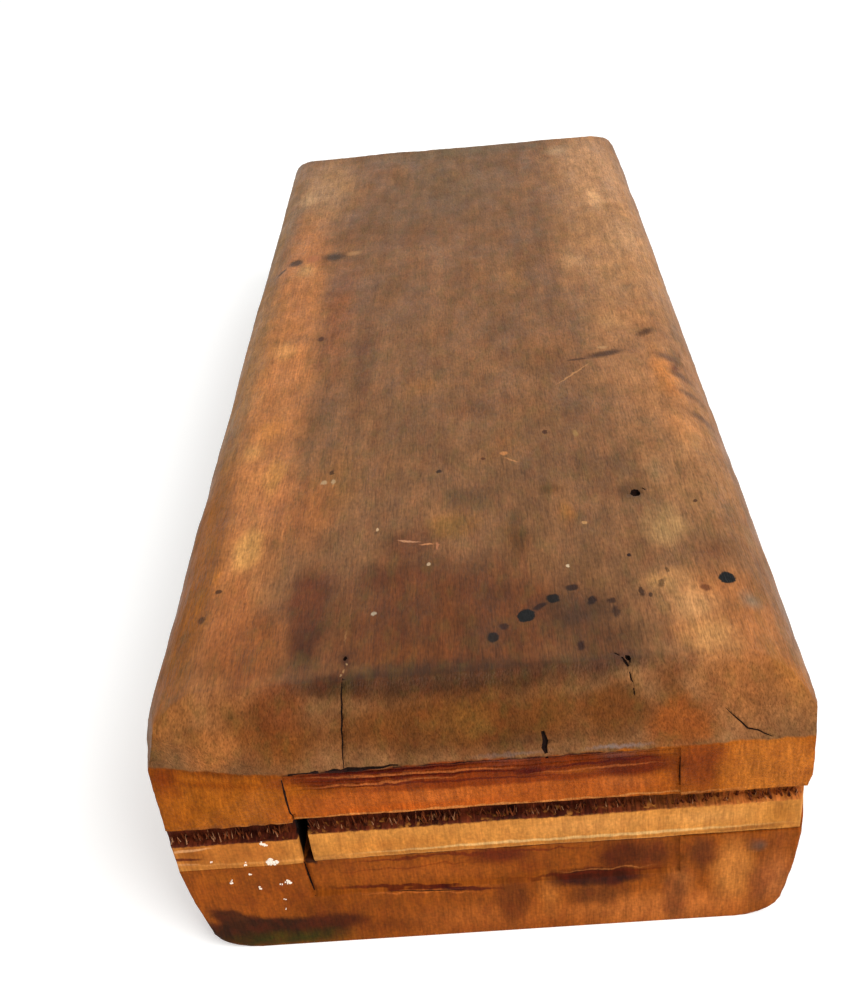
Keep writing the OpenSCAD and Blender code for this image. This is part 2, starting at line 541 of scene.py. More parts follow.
def relief(tree, shader, height, depth):
    """Fine relief of the surface, depth millimetres between its lowest and its highest."""
    bump = add(tree, "Bump", {"Strength": 1, "Distance": depth * MM, "Height": height})
    feed(tree, shader, {"Normal": bump.outputs[0]})


def dressed(material, colour, roughness, gloss=0.5, metallic=0.0):
    """A material with its shader's main sockets set, to constants or to other nodes' outputs."""
    tree = material.node_tree
    feed(tree, tree.nodes["Principled BSDF"], {"Base Color": colour, "Roughness": roughness,
                                               "Specular IOR Level": gloss, "Metallic": metallic})
    return material


# How deep a stain or painted mark goes into the wood, in millimetres
END_REACH, TOP_REACH = 12, 16


class Blotch(NamedTuple):
    """One stain, or one painted highlight or shade: its middle and half its size in millimetres, its tone, how strong
    it is, how soft its edge is, and its turn in degrees."""

    across: float
    along: float
    wide: float
    long: float
    tone: str
    strength: float = 0.6
    edge: float = 1.0
    turn: float = 0


def lay_blotches(tree, colour, place, blotches, upright=False):
    """Lays blotches over colour: on the top, or on the joined end's faces where they are upright."""
    for blotch in (Blotch(*row) for row in blotches):
        across, along, wide, long = blotch[:4]
        turned = math.radians(blotch.turn)
        if upright:
            middle, size, turn = (across, NEAR, along), (wide, END_REACH, long), (0, -turned, 0)
        else:
            middle, size = (across, NEAR + along, TOP_HIGH.z), (wide, long, TOP_REACH)
            turn = (0, 0, turned)
        moved = add(tree, "Mapping", {"Vector": place, "Location": middle, "Rotation": turn,
                                      "Scale": size}, vector_type="TEXTURE").outputs[0]
        reach = add(tree, "TexGradient", {0: moved}, gradient_type="SPHERICAL").outputs["Fac"]
        amount = add(tree, "MapRange", {"Value": reach, "From Max": blotch.edge,
                                        "To Max": blotch.strength}, interpolation_type="SMOOTHSTEP")
        colour = mixed(tree, amount.outputs[0], colour, linear(blotch.tone))
    return colour


# The rows of stains, painted highlights and painted shade are those of Blotch: across, along, half widths, tone,
# strength, edge and turn
TOP_BLOTCHES = [
    # broad tones: the pale strip by the left bevel, the pale right side, the hazy free end
    (-56, 160, 14, 210, "#b2703c", 0.95, 0.6), (-73, 300, 11, 130, "#99703e", 0.9),
    (-72, 170, 14, 120, "#9c6a33", 0.9, 0.8), (-71, 55, 14, 80, "#8c4e04", 0.9, 0.7),
    (62, 250, 32, 200, "#ad7a4c", 0.92, 0.75), (60, 142, 24, 74, "#a26d42", 0.85, 0.75),
    (60, 80, 22, 44, "#95663d", 0.85, 0.75), (60, 318, 20, 66, "#bb895e", 0.85),
    (-54, 325, 22, 60, "#a87c51", 0.9), (-2, 315, 44, 66, "#735333", 0.8),
    (2, 354, 56, 13, "#70593b", 0.75), (34, 352, 10, 9, "#624c31", 0.7),
    # browns over the middle
    (-30, 165, 6, 60, "#633d20", 0.8), (-40, 195, 8, 70, "#8f522b", 0.7),
    (14, 176, 13, 8, "#624120", 0.75), (-8, 262, 22, 14, "#6f4828", 0.6),
    (18, 215, 14, 26, "#926235", 0.6), (-10, 144, 12, 8, "#8d5c2c", 0.6),
    (6, 128, 20, 10, "#6e4322", 0.6), (12, 105, 14, 14, "#85562b", 0.5),
    (-34, 96, 12, 24, "#8a5c2e", 0.7), (-42, 82, 13, 26, "#9b5d2e", 0.85, 0.8),
    (2, 81, 9, 8, "#51381c", 0.75, 0.95), (-2, 70, 10, 8, "#885a2b", 0.8, 0.6),
    (14, 62, 7, 18, "#553312", 0.85), (24, 82, 5, 4, "#573816", 0.8), (27, 71, 3, 9, "#98612a", 0.75),
    (-14, 63, 9, 9, "#5f3319", 0.75, 0.7), (-37, 44, 9, 20, "#582a10", 0.9, 0.7),
    (-20, 50, 11, 9, "#53331c", 0.8), (30, 164, 15, 18, "#925f37", 0.55, 0.8),
    (42, 205, 8, 18, "#9e6c43", 0.5, 0.8), (63, 246, 10, 26, "#be8e62", 0.5, 0.8),
    (47, 342, 9, 9, "#b38d64", 0.7), (-50, 89, 7, 17, "#ad6b3b", 0.6, 0.8),
    (63, 100, 6, 7, "#bb824f", 0.7, 0.8),
    # the dark ground towards the joined end
    (-3, 31, 45, 33, "#5d3010", 0.9, 0.6), (-14, 51, 16, 11, "#5c3014", 0.6, 0.8),
    (-37, 28, 7, 13, "#401904", 0.85), (25, 31, 15, 11, "#452b17", 0.9), (4, 27, 9, 8, "#4f2e17", 0.8),
    (-14, 22, 16, 7, "#6f3b14", 0.6), (-50, 27, 14, 22, "#85491c", 0.85, 0.7),
    (58, 27, 17, 24, "#a56635", 0.9, 0.6), (-2, 14.5, 45, 6.5, "#482a14", 0.92, 0.6, -0.6),
    (-30, 14.5, 14, 4.5, "#3f1d06", 0.8, 0.8), (31, 21, 12, 9, "#4a2910", 0.8, 0.8),
    (33, 15, 13, 4.5, "#422617", 0.8, 0.8),
    # pale worn places
    (-57, 176, 6, 10, "#d08f4e", 0.9), (-56, 241, 6, 10, "#c18c4f", 0.85),
    (-56, 126, 7, 10, "#c37c39", 0.85), (-52, 101, 4, 12, "#c38242", 0.95, 0.7),
    (-55, 67, 5, 12, "#c98d4b", 0.95, 0.7), (-60, 115, 5, 9, "#c38749", 0.8),
    (-60.5, 56, 2, 6, "#bb6f2a", 0.9), (-61, 314, 6, 14, "#bb9267", 0.85),
    (57, 282, 4, 15, "#d8a16b", 0.95, 0.8), (42, 224, 6, 10, "#b98757", 0.85),
    (50, 174, 6, 10, "#b07e4f", 0.85), (62, 136, 6, 24, "#c2783a", 0.85, 0.9, 2),
    (62, 108, 6, 16, "#be7d47", 0.85, 0.9), (52, 86, 5, 8, "#a2784d", 0.85),
    (50, 63, 8, 12, "#a57c4c", 0.9, 0.7), (48, 41, 9, 7, "#b8824c", 0.85, 0.9, 10),
    (51, 31, 9, 11, "#c68e57", 0.9, 0.9, 8), (54, 19, 8, 9, "#be854c", 0.9, 0.8, 10),
    # darker places among them
    (43, 90, 7, 9, "#62462c", 0.85), (67, 150, 4, 13, "#653f21", 0.7, 1, -12),
    (65, 142, 2, 4, "#340404", 0.8), (70, 172, 4, 22, "#76573a", 0.8), (60, 50, 9, 7, "#774927", 0.85),
    (65, 32, 4, 5, "#8c7a64", 0.7), (-56, 42, 8, 20, "#a05d2d", 0.85, 0.7),
    # the end bevel, cleaner towards its two ends
    (-2, 4.5, 54, 8, "#673914", 0.95, 0.5), (-65, 12, 8, 9, "#91592c", 0.9, 0.7),
    (-60, 7, 6, 3, "#5f3309", 0.8), (-50, 6, 12, 9, "#794218", 0.8, 0.9),
    (-43, 2, 13, 8, "#753b09", 0.9, 0.7), (-58, 1.5, 11, 8, "#9f5f2e", 0.9, 0.35),
    (-42, 10, 8, 9, "#6b3310", 0.75, 0.6), (45, 2, 13, 8, "#8c491a", 0.95, 0.4),
    (31, 5.5, 11, 7, "#64350f", 0.75, 0.5), (44, 13, 8, 5, "#6a3c1e", 0.8),
    (-37, 5, 8, 6, "#69370f", 0.8), (-2, 6, 10, 5, "#7d5220", 0.6), (-12, 2.5, 10, 4, "#482a10", 0.8),
    (10, 1.2, 30, 2.6, "#50311c", 0.75), (44, 9, 5, 6, "#542c0b", 0.8),
    (59, 7, 16, 14, "#94592c", 0.9, 0.8), (70, 8, 9, 17, "#a9672e", 0.9),
]

TOP_MARKS = [
    # grey flecks along the arris, a painted highlight of its greasy sheen, and dirt above it
    (8, 0.7, 16, 0.7, "#857d7f", 0.55, 0.8), (31, 0.6, 13, 0.7, "#958f92", 0.7, 0.7),
    (14, 2.6, 34, 1.6, "#321c12", 0.5), (-4, 16, 38, 1.5, "#371c04", 0.45, 1, -0.6),
    # ripples of grain round the knot on the right bevel
    (64.5, 148, 8, 3.2, "#583c2c", 0.75, 1, -42), (66.5, 137.5, 8, 2.8, "#523727", 0.8, 1, -46),
    (67.5, 126.5, 7, 2.6, "#573c29", 0.75, 1, -40), (68.5, 114, 8, 3.0, "#4e331f", 0.8, 1, -44),
    # a line of black splashes, and the haze about them
    (20, 36, 9, 3.6, "#3d2414", 0.5, 1, 22), (30, 33, 6, 6, "#3b2210", 0.45),
    (14.2, 32, 2.3, 2.6, "#040404", 1, 0.22), (6.3, 25.5, 1.6, 2.0, "#040404", 0.9, 0.3),
    (9, 29, 1.4, 1.6, "#200704", 0.8, 0.5), (20.7, 37.4, 1.8, 1.9, "#040404", 0.95, 0.3, 20),
    (17.5, 35, 2.4, 1, "#140404", 0.8, 0.5, 35), (25.5, 41, 2, 1.5, "#140404", 0.85, 0.5, 15),
    (29.5, 35.5, 1.3, 2.2, "#140404", 0.85, 0.5, -15), (34, 35, 1.6, 1.3, "#230e04", 0.8, 0.6),
    (25.5, 20.5, 1.1, 2, "#1c0404", 0.8, 0.6), (34.3, 31, 1.2, 3, "#200c04", 0.7, 0.6),
    (41, 37.5, 0.9, 2.2, "#2f1604", 0.85, 0.5), (43, 36, 0.8, 1.2, "#2f1604", 0.85, 0.5),
    (46, 40, 1, 2.4, "#3d2405", 0.7, 0.5, -20), (48, 44.5, 0.6, 1.2, "#3d2405", 0.7, 0.5),
    (61, 39.8, 2.1, 2.5, "#040404", 1, 0.22), (55.5, 37, 1.6, 1.6, "#633112", 0.8, 0.6),
    (40, 51.5, 0.7, 0.8, "#190404", 0.95, 0.4), (-5.7, 95.2, 1.0, 1.0, "#2c1604", 0.95, 0.4),
    (6.5, 99.6, 0.8, 0.9, "#4d2405", 0.9, 0.4), (-35.5, 99.5, 0.9, 1.2, "#3c2005", 0.85, 0.4),
    (24.2, 110.5, 0.9, 1.4, "#3e1c04", 0.9, 0.4), (59.2, 71, 0.7, 1.0, "#3c1c04", 0.9, 0.4),
    (-60.2, 50.6, 1.1, 1.1, "#412004", 0.9, 0.5), (-63, 40.5, 1.2, 1.8, "#3d1f04", 0.8, 0.5),
    (44, 78, 5.5, 6.5, "#3c2205", 0.6, 0.8), (-27, 22, 2.2, 5, "#230504", 0.7),
    # knots and bruises
    (-60, 248.5, 3.2, 4.6, "#2b1704", 0.85, 0.6, -25), (-45.5, 250.5, 6.4, 5.8, "#2f1c05", 0.9, 0.8),
    (-53.5, 251, 4, 5, "#a66340", 0.7, 0.7), (-38, 252, 4, 3, "#a97a4b", 0.8, 0.7),
    (-64.8, 242.5, 0.9, 4.5, "#291704", 0.8, 0.5, -28), (-45, 182, 1.3, 2.4, "#3c1704", 0.85, 0.5),
    (46, 152.8, 9, 2.8, "#412716", 0.9, 0.75, 12), (37, 150.8, 4, 0.9, "#482912", 0.85, 0.5, 2),
    (59.8, 164.6, 5, 3, "#41230c", 0.85, 0.8, 35), (45.5, 157, 2.2, 1.3, "#b4885b", 0.7, 0.6),
    # scratches
    (35, 142, 0.45, 10, "#bd8652", 0.7, 0.6, -45), (12.3, 101.4, 1.6, 1.3, "#bc7a42", 0.85, 0.6),
    (14.2, 97.6, 3, 0.5, "#b87d4b", 0.8, 0.6, -38), (-13.5, 64.8, 3.6, 0.5, "#b9825c", 0.9, 0.5, -14),
    (-9, 63, 2.2, 0.5, "#bf7e50", 0.9, 0.5, -8), (-6.2, 62, 0.5, 2.2, "#b4734d", 0.8, 0.5),
    (-37.5, 95, 1.2, 1.2, "#b2926c", 0.8, 0.5), (-34.8, 95, 0.8, 1.6, "#b2926c", 0.8, 0.5),
    (-26.8, 45, 0.4, 20, "#8c5731", 0.45, 0.8), (-26.7, 20.6, 0.35, 0.7, "#b99263", 0.7, 0.7),
    (-27.1, 18.3, 0.3, 0.8, "#aa7f4f", 0.7, 0.7), (-27.7, 17.1, 0.3, 0.6, "#b99263", 0.6, 0.7),
    (-27.4, 30, 0.4, 3.4, "#9a6a3e", 0.6, 0.8), (-21.2, 37.3, 0.8, 1, "#aa987f", 0.9, 0.5),
    (25.1, 49.3, 0.6, 0.7, "#cfb592", 0.9, 0.5), (-8.3, 54.6, 0.6, 0.8, "#c2a482", 0.8, 0.5),
    (-21.8, 70.8, 0.5, 0.9, "#cfa97f", 0.9, 0.5), (30.8, 66, 0.8, 0.9, "#bf8c55", 0.8, 0.5),
    (32.6, 108, 1, 2.2, "#9a7541", 0.8, 0.6),
]

TOP_END_BLOTCHES = [
    (-58, 49, 24, 12, "#9d5512", 0.85, 0.7), (-68, 48, 8, 7, "#954d0f", 0.7),
    (-49, 50, 6, 7, "#a95d1d", 0.7), (-57, 55.4, 16, 1.6, "#803b04", 0.8),
    (-58, 59.2, 24, 3.2, "#552304", 0.9), (-69, 56, 6, 6, "#6c2704", 0.85, 0.8),
    (0, 47, 52, 8, "#a95218", 0.95, 0.4), (-8, 48, 12, 4, "#bf6324", 0.7),
    (32, 48.5, 9, 4, "#b46129", 0.6), (-5, 56, 46, 4.6, "#702904", 0.95, 0.35),
    (-32, 55, 9, 5, "#5c1e04", 0.85, 0.8), (4, 51.4, 42, 2, "#752b04", 0.85, 0.6),
    (-14, 45, 32, 2.2, "#b9530f", 0.6, 0.8), (12, 54, 6, 2.6, "#3d0404", 0.95),
    (34, 53.5, 13, 5, "#571904", 0.9, 0.6), (48, 53, 8, 12, "#73320b", 0.95, 0.7),
    (63, 50, 13, 14, "#b16420", 0.95, 0.5), (70, 47, 5, 5, "#a95c1d", 0.7),
    # broad saw waves in the upper part, and a painted shadow line under the arris, where the bevel's edge overhangs
    # the housing
    (-16, 56.9, 26, 0.5, "#410404", 0.8, 0.5, 1), (-14, 55.5, 28, 0.5, "#b76530", 0.6, 0.5, -1),
    (-10, 54.6, 32, 0.5, "#4b0f04", 0.8, 0.5, -1), (-20, 53.4, 20, 0.45, "#bb6730", 0.6, 0.5, 1),
    (-8, 52.5, 34, 0.5, "#511404", 0.75, 0.5, -1), (28, 55, 16, 0.5, "#460904", 0.75, 0.5, 2),
    (26, 53.4, 18, 0.4, "#b15e2a", 0.5, 0.5, 1), (-31, 57.9, 12, 1.0, "#0d0404", 1, 0.3, -1.5),
    (2, 58.1, 44, 0.6, "#1e0404", 0.95, 0.4, 0.4), (0, 43.9, 70, 0.5, "#d18846", 0.6, 0.5, 0.4),
]

BASE_BLOTCHES = [
    (-56, 21, 19, 13, "#8c440c", 0.8, 0.7), (-60, 26, 10, 4, "#9b510e", 0.6),
    (-14, 23, 30, 7, "#a25216", 0.7), (-2, 6, 30, 9, "#9c521b", 0.85),
    (40, 5, 32, 9, "#b46529", 0.9, 0.8), (66, 13, 7, 14, "#ad6431", 0.8),
    (56, 17, 7, 15, "#bb7230", 0.95, 0.8), (44, 14, 5, 9, "#a25e2a", 0.85),
    (14, 12, 4, 10, "#ae6425", 0.8),
    # brown stains
    (25, 17.4, 14, 4, "#361104", 1, 0.5, -2), (31, 24, 9, 8, "#4c1d04", 0.95, 0.7),
    (3, 27, 11, 5, "#5b1e04", 0.9, 0.8), (10, 22, 6, 4, "#753308", 0.7),
    (5, 11, 5.5, 10, "#68310a", 0.9, 0.6), (24, 11.5, 10, 6, "#63310e", 0.8, 0.8),
    (49, 24, 5, 8, "#602e0e", 0.9, 0.7), (43, 8, 4, 11, "#773e19", 0.85, 0.6),
    (61.5, 25, 3, 3, "#554233", 0.9), (66, 26, 4, 9, "#834216", 0.7),
    (62, 12, 3.5, 10, "#84441e", 0.6, 0.7), (-39, 14, 13, 8, "#763804", 0.85, 0.8),
    (38, 24, 6, 8, "#57260a", 0.85, 0.8), (-46, 20, 5, 9, "#823c06", 0.7),
    # a crack along the grain under the housing
    (-20, 18.0, 22, 0.8, "#420804", 0.75, 0.6, -4), (-6, 16.8, 12, 0.9, "#3a0404", 0.8, 0.6, -5),
    (-16, 16.2, 18, 0.5, "#af5d24", 0.6, 0.6, -4), (24, 18.4, 22, 0.7, "#4d1604", 0.7, 0.6, 1),
    (27, 19.6, 14, 0.4, "#b06933", 0.5, 0.6, 1), (-4, 28, 36, 0.6, "#632204", 0.8, 0.5, -0.6),
    (-18, 24.8, 20, 0.4, "#722e04", 0.6, 0.5, 1.5),
    # damp, with a green cast low down
    (-55, 5.8, 27, 6.2, "#321604", 1, 0.4), (-61, 11, 8.5, 4.4, "#361704", 0.95, 0.5, -30),
    (-38, 8, 12, 4, "#421904", 0.9, 0.6), (-49, 2.5, 22, 4.5, "#373104", 0.85, 0.8),
    (-39.7, 29.4, 1.6, 1.4, "#040404", 0.9, 0.5), (-26, 5, 12, 5, "#632b04", 0.7),
]

SPACER_BLOTCHES = [
    (-56, 35, 20, 9, "#b16623", 0.9, 0.7), (-67, 35, 7, 8, "#8f4b0e", 0.8),
    (-68, 36.4, 8, 0.6, "#d39560", 0.8, 0.5, 4), (-69, 33.6, 6, 0.6, "#551d04", 0.9, 0.5, -3),
    (-70, 32, 6, 0.5, "#c38650", 0.7, 0.5, -3), (-48, 31, 26, 0.5, "#d38b44", 0.6, 0.5, -0.6),
    (-20, 34, 26, 4, "#c2752a", 0.6), (24, 36, 22, 5, "#d68f46", 0.8), (50, 36, 14, 4, "#d08f4a", 0.6),
    # the rows at 31.9, 30.8 and 29.4 up: a painted highlight along the wide spacer's lower arris, painted shade on the
    # slope under it, and a dark line along the spacers' joint with the base, partly joint and partly painted shadow
    # under the wide spacer's lip
    (66, 35, 6, 8, "#a96721", 0.7), (18, 31.9, 56, 0.8, "#e1b472", 0.7, 0.6, 0.3),
    (16, 30.8, 58, 0.8, "#b5702a", 0.8, 0.5), (20, 29.4, 90, 0.5, "#400404", 0.9, 0.5),
    (60, 31.2, 12, 1.4, "#8f521b", 0.8, 1, 2),
]


# ---------------- materials
def planed_figure(tree, colour, place, contrast=1.0):
    """Figure of a planed face: streaks and pores along the grain, with a reddish and a greenish
    cast among them. Gives the colour and the height of its relief."""
    for size, change, detail in (((0.5, 7, 0.5), 0.15, 2), ((2.2, 45, 2.2), 0.14, 2),
                                 ((6, 9, 6), 0.2, 4), ((0.8, 1.3, 0.8), 0.19, 3)):
        colour = clouded(tree, colour, place, size, change * contrast, detail)
    for cast, size, low, strength in (("#8a3c1c", (2.4, 7, 2.4), -0.7, 0.13),
                                      ("#565222", (3.1, 6, 3.1), -0.9, 0.2)):
        colour = overlaid(tree, colour, cast, cloudy(tree, place, size, 3, low), strength)
    pores = cloudy(tree, place, (0.4, 3, 0.4), detail=1, low=-1.5)
    colour = overlaid(tree, colour, "#1c0d06", pores, strength=0.27 * contrast)
    return colour, add(tree, "Math", {0: 1, 1: pores}, operation="SUBTRACT").outputs[0]


def sawn_figure(tree, colour, place, contrast=1.0):
    """Figure of a sawn end: upright saw marks, broader upright bands and speckle. Gives the colour
    and the height of its relief."""
    marks = cloudy(tree, place, (0.45, 12, 4.5))
    for size, detail in (((0.45, 12, 3.2), 2), ((3.2, 30, 9), 2), ((0.8, 9, 0.8), 3)):
        colour = clouded(tree, colour, place, size, 0.2 * contrast, detail)
    red_cast = cloudy(tree, place, (3, 9, 4), detail=3, low=-0.6)
    return overlaid(tree, colour, "#7c2a10", red_cast, strength=0.18), marks


def patinated_board():
    """Softwood board, planed, then worn: brown with heat and handling on top, satin where cloth
    has polished it, and orange where its sawn end is cleaner."""
    material, tree, shader, place = start_material("patinated_planed_softwood")
    colour = overlaid(tree, linear("#724c2c"), "#875b37", cloudy(tree, place, (20, 46, 20), 3))
    colour = lay_blotches(tree, colour, strayed(tree, place, size=9, reach=3), TOP_BLOTCHES)
    colour, height = planed_figure(tree, colour, place)
    end = lay_blotches(tree, linear("#9a4f0d"), strayed(tree, place, size=4, reach=1),
                       TOP_END_BLOTCHES, upright=True)
    end, _ = sawn_figure(tree, end, place)
    ragged = strayed(tree, place, size=2.5, reach=0.5)
    on_end = zone(tree, ragged, ("Y", NEAR + 6.2, NEAR + 5.6), ("Z", 58.9, 58.3))
    colour = mixed(tree, on_end, colour, end)
    colour = lay_blotches(tree, colour, strayed(tree, place, size=1.3, reach=0.6), TOP_MARKS)
    # the bevel at the joined end is dull: cloth seldom polished it
    dull = zone(tree, place, ("Y", NEAR + 16, NEAR + 11))
    gloss = add(tree, "MapRange", {"Value": dull, "To Min": 0.16, "To Max": 0.05}).outputs[0]
    roughness = cloudy(tree, place, (9, 24, 9), detail=3, low=0.45, high=0.68)
    relief(tree, shader, height, depth=0.06)
    return dressed(material, colour, roughness, gloss)


def sawn_plank():
    """Sawn softwood plank, oiled by age: orange-brown, dull, with its saw marks and damp stains."""
    material, tree, shader, place = start_material("sawn_softwood_plank")
    colour = lay_blotches(tree, linear("#87430c"), strayed(tree, place, size=4, reach=1.6),
                          BASE_BLOTCHES, upright=True)
    behind_end = zone(tree, place, ("Y", NEAR + 3, NEAR + 16))
    colour = overlaid(tree, colour, "#6a4830", behind_end, strength=0.7)
    colour, height = sawn_figure(tree, colour, place)
    relief(tree, shader, height, depth=0.07)
    return dressed(material, colour, roughness=0.75, gloss=0.08)


def sawn_lath():
    """Sawn lath, hidden from light and wear for longer: paler and yellower, with painted shade, near black, in its
    torn band under the pressing board.
    """
    material, tree, shader, place = start_material("sawn_softwood_lath")
    colour = lay_blotches(tree, linear("#c58037"), strayed(tree, place, size=3, reach=0.5),
                          SPACER_BLOTCHES, upright=True)
    colour, height = sawn_figure(tree, colour, place, contrast=0.8)
    ragged = strayed(tree, place, size=1.4, reach=0.5)
    # painted shade: the torn band under the pressing board's overhang is coloured near black over dark-brown torn
    # wood, and browner on the right, where the overhang shades less
    torn = overlaid(tree, linear("#230705"), "#6a2c14", cloudy(tree, place, (6, 30, 9)), strength=0.8)
    torn = overlaid(tree, torn, "#b4662c", zone(tree, place, ("X", 26, 62)), strength=0.85)
    torn = clouded(tree, torn, place, (0.5, 5, 3), contrast=0.5)
    near = ("Y", NEAR + 9, NEAR + 6)
    on_narrow = ("X", NARROW_HIGH.x + 1, NARROW_HIGH.x)
    for in_tear in (zone(tree, ragged, ("Z", 38.9, 39.6), near),
                    zone(tree, ragged, ("Z", 37.5, 38.1), on_narrow, near)):
        colour = mixed(tree, in_tear, colour, torn)
    # painted shade: the slot's walls go near black a millimetre or two in from its mouth
    slot_shade = zone(tree, place, ("X", NARROW_HIGH.x - 0.6, NARROW_HIGH.x - 0.2),
                   ("X", WIDE_LOW.x + 0.6, WIDE_LOW.x + 0.2), ("Y", NEAR + 0.8, NEAR + 1.8))
    colour = overlaid(tree, colour, "#0f0604", slot_shade)
    relief(tree, shader, height, depth=0.07)
    return dressed(material, colour, roughness=0.75, gloss=0.1)


def grime_and_crevice_shade():
    """Dust and soot packed into old splits, near black and dull; the same fill paints shade into the grooves along the
    housings' edges.
    """
    material, tree, _, place = start_material("grime_and_crevice_shade")
    colour = overlaid(tree, linear("#0d0705"), "#24120b", cloudy(tree, place, (0.8, 3, 0.8)))
    return dressed(material, colour, roughness=0.9, gloss=0.1)


def rusted_iron():
    """Cut iron nails gone brown: a dull oxide crust with a little bare metal showing."""
    material, tree, shader, place = start_material("rusted_iron")
    crust = cloudy(tree, place, (0.9, 0.9, 0.9), detail=3)
    colour = overlaid(tree, linear("#2b2522"), "#4a2f20", crust)
    roughness = cloudy(tree, place, (0.6, 0.6, 0.6), low=0.5, high=0.85)
    relief(tree, shader, crust, depth=0.08)
    return dressed(material, colour, roughness, metallic=0.6)


def torn_fibre(name, dark, pale):
    """Torn softwood fibre, darker at its root and paler at its dry tip."""
    material, tree, _, place = start_material(name)
    colour = overlaid(tree, linear(dark), pale, cloudy(tree, place, (1.3, 1.3, 1.2)))
    colour = clouded(tree, colour, place, (0.2, 0.2, 2), contrast=0.25)
    return dressed(material, colour, roughness=0.8, gloss=0.1)


def limewash_fleck():
    """Flecks of limewash: chalky off-white, with a dusty relief."""
    material, tree, shader, place = start_material("limewash")
    grit = cloudy(tree, place, (0.3, 0.3, 0.3))
    relief(tree, shader, grit, depth=0.05)
    return dressed(material, overlaid(tree, linear("#e8d2b8"), "#fff3e4", grit), roughness=0.9)


# ---------------- cracks and grooves
# Each is its width and its corners: across and along the top, or across and up the end faces.
TOP_CRACKS = [
    (0.42, [(-27.2, 16), (-27.4, 13.3), (-27.5, 9.2), (-27.7, 4.6), (-27.7, 2.7), (-27.8, 1.2),
            (-27.8, 0.4)]),
    (0.35, [(32.4, 17.3), (33.4, 16.3)]),
    (0.7, [(33.8, 15.8), (34.4, 14.4), (34.9, 13.4)]),
    (0.5, [(35.6, 15.4), (35.3, 14.2)]),
    (0.35, [(35, 12.4), (35.2, 11), (35.4, 10.4)]),
    (0.3, [(35.4, 9.3), (35.5, 8)]),
    (1.4, [(15.3, 3.6), (15.5, 2.2), (15.6, 1.2), (15.7, 0.4)]),
    (0.4, [(54.2, 4.9), (55.6, 3.8), (57.1, 2.7), (58.2, 1.9), (60.2, 1.5), (61.6, 0.9), (62.9, 0.5)]),
    (0.5, [(46.9, 79), (47.6, 78)]),
]
# The first is a split under the notch. The others are grooves filled near black as painted shade: under the arris,
# where the bevel overhangs the housing, and along the housing's walls.
TOP_END_CRACKS_AND_SHADE_LINES = [
    (1.0, [(15.7, 58.5), (15.75, 57.2)]),
    (0.9, [(-41.2, 58.2), (-34, 58.4), (-27, 58.5), (-21, 58.7), (-16, 58.8)]),
    (0.7, [(-41.6, 57.3), (-41.6, 52), (-41.5, 47), (-41.5, 43.6)]),
    (0.25, [(43.9, 55), (43.8, 51), (43.9, 46)]),
]
SAW_GROOVES = [
    (0.5, [(-40.5, 57.2), (-30, 57), (-20, 57.2), (-8, 57), (4, 57.1), (14, 56.8)]),
    (0.5, [(-40.5, 56.1), (-28, 55.8), (-16, 56), (0, 55.7), (12, 55.6), (26, 56), (43, 55.8)]),
    (0.6, [(-40.5, 54.9), (-30, 54.6), (-18, 54.9), (-4, 54.6), (9, 54.4)]),
    (0.5, [(-40.5, 53.8), (-30, 53.5), (-20, 53.8), (-8, 53.4)]),
    (0.45, [(-40.5, 52.6), (-33, 52.4), (-22, 52.7)]),
    (0.4, [(20, 57.3), (31, 57.4), (42, 57.2)]),
]
# The first is a groove along the housing's left wall, filled near black as painted shade at its step; the second is a
# crack along the grain.
BASE_CRACKS_AND_SHADE_LINES = [
    (0.6, [(-41.5, 29.2), (-41.3, 25), (-41, 21), (-40.8, 17.6)]),
    (0.35, [(-24, 17.5), (-14, 16.7), (-6, 16.4)]),
]


# Half widths and the depth of the torn mouth over each nail that shows
MOUTHS = {"left_nail": (0.5, 0.7, 1.4), "right_nail": (0.6, 0.8, 1.6), "far_nail": (1.3, 1.6, 1.7)}


def crack_cutter(obj, cracks, upright):
    """One cutter for a list of cracks on a board's top, or upright on its joined end."""
    surface = surface_of(obj)
    return join([crack(surface, width, corners, upright) for width, corners in cracks])


# ---------------- pieces
def length(label, millimetres, description):
    """A length that the sidebar's tools can set."""
    return FloatProperty(name=label, description=description, default=millimetres * MM, unit="LENGTH")


def angle(label, degrees, description):
    """An angle that the sidebar's tools can set."""
    return FloatProperty(name=label, description=description, default=math.radians(degrees),
                         subtype="ANGLE")


class SleeveBoardSizes(bpy.types.PropertyGroup):
    """Sizes that shape the worn boards."""

    side_bevel: length("Side bevel", 13, "Width of the bevel along the long sides")
    end_bevel: length("End bevel", 15, "Width of the bevel across the joined end")
    far_bevel: length("Far bevel", 10.5, "Width of the bevel across the free end")
    bevel_height: length("Bevel height", 12, "Height of all the bevels")
    side_bow: length("Side bow", 2.8, "How far the side bevels bulge")
    end_bow: length("End bow", 1.2, "How far the bevel at the joined end bulges")
    far_bow: length("Far bow", 2.4, "How far the bevel at the free end bulges")
    far_skew: length("Free end askew", 9, "How much shorter the right side is than the left")
    base_corner: length("Base corners", 4.4, "Easing of the base's near corners, at its top")
    base_lean: length("Base lean", 3, "How much further in the base's near corners are at the floor")
    base_turn: angle("Base turn", 25, "How far the base's leaning corner faces are turned")
    ease_length: length("Corner easing", 24, "Length over which each corner is eased in")
    mesh_step: length("Mesh step", 6.6, "Spacing of the faces before they are subdivided")


def ease_corner(obj, corner, inset, reach):
    """Draws one upright corner of a block in, less and less along its side."""
    around = 1
    pick(obj, lambda p: abs(p.x - corner.x) < around and abs(p.y - corner.y) < around)
    with editing(obj, whole=False):
        bpy.ops.transform.translate(
            value=(-math.copysign(inset * MM, corner.x), 0, 0), use_proportional_edit=True,
            proportional_edit_falloff="SHARP", proportional_size=reach * MM)


